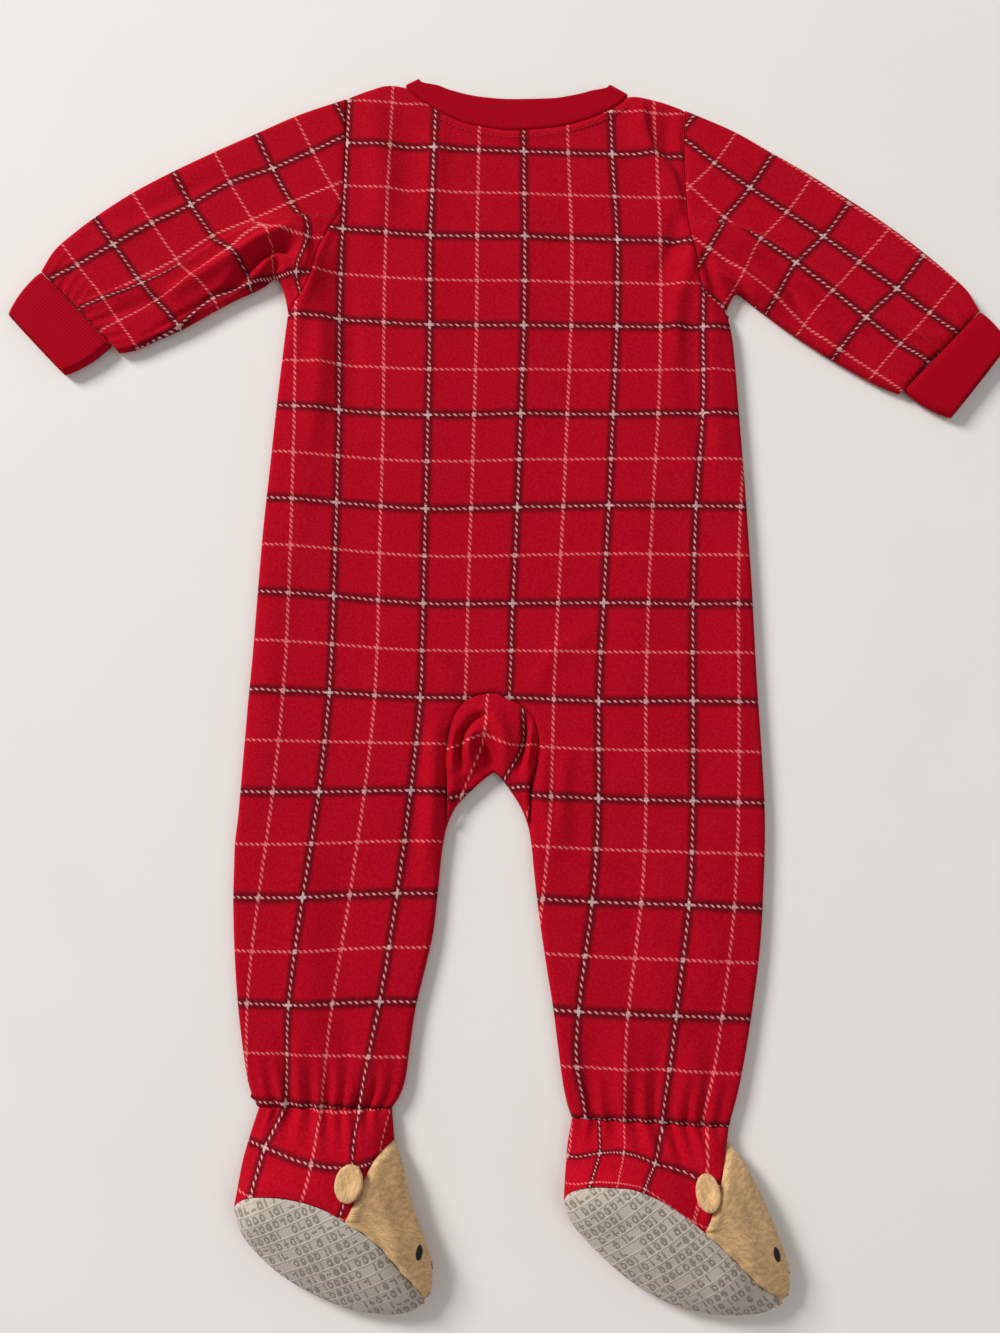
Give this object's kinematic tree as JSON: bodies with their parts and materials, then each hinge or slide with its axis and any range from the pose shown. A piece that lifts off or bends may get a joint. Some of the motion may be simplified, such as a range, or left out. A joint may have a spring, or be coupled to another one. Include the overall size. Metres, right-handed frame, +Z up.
{
  "type": "onesie pajama",
  "caption": "Footed fleece sleeper for a baby, laid out flat on its front: sleeves with cuffs, neckband, front zip with a swinging pull tab, gathered ankles, feet with soles and toe caps.",
  "frame": {"origin": "middle of the layout's box in plan, on the surface that the garment lies on", "axes": "+Y towards the neck, +Z up from the surface, +X to the right when looking at the back with the neck at the top"},
  "size_m": [0.5774, 0.6916, 0.0283],
  "materials": {
    "fleece": "brushed fleece, matt, with a checked pattern",
    "rib_knit": "fine rib knit, matt",
    "plush": "short-pile plush",
    "sole_knit": "thick knit with rows of printed gripper marks",
    "zip_tape": "woven tape with a coil chain",
    "zip_metal": "enamelled"
  },
  "bodies": {
    "root": {"back": "fleece", "front_left": "fleece", "front_right": "fleece", "crotch_gusset": "fleece", "sleeve_left": "fleece", "sleeve_right": "fleece", "foot_upper_left": "fleece", "foot_upper_right": "fleece", "neckband": "rib_knit", "cuff_left": "rib_knit", "cuff_right": "rib_knit", "toe_cap_left": "plush", "toe_cap_right": "plush", "ear_left": "plush", "ear_right": "plush", "ear_under_left": "plush", "ear_under_right": "plush", "sole_left": "sole_knit", "sole_right": "sole_knit", "zip": "zip_tape", "zip_slider": "zip_metal"},
    "pull": {"zip_pull": "zip_metal"}
  },
  "joints": [
    {"name": "pull_swing", "type": "hinge", "parent": "root", "child": "pull", "pos_m": [0.00367, 0.2814, 0.0019], "axis": [1, 0, 0], "range_deg": [0, 160]}
  ]
}
